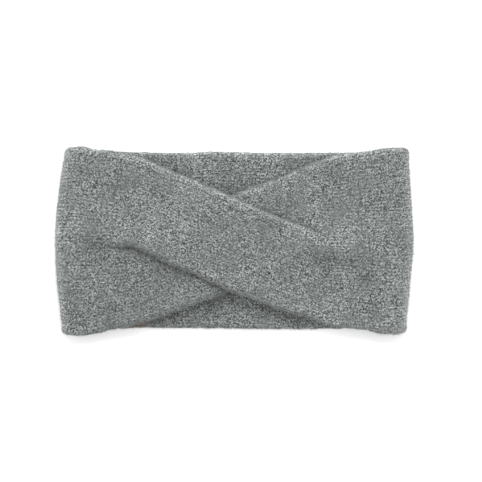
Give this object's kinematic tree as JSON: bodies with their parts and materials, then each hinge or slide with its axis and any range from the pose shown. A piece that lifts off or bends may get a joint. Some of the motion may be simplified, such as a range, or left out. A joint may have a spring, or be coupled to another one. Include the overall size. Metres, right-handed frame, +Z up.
{
  "type": "ear warmer headband",
  "caption": "Knitted crossover ear warmer headband, lying flat, with two front straps that cross and a small leather label inside its hem.",
  "frame": {"origin": "centre of the flat underside of the headband, on the surface that it lies on", "axes": "+X along the band from fold to fold, +Y across it towards the upper hem of the front, +Z up out of the front"},
  "size_m": [0.226, 0.1194, 0.0161],
  "materials": {
    "grey_knit": "matt brushed wool in mixed greys",
    "brown_leather": "smooth, slightly worn"
  },
  "bodies": {
    "root": {"knit_band": "grey_knit", "strap_over": "grey_knit", "strap_under": "grey_knit", "leather_label": "brown_leather"}
  },
  "joints": []
}
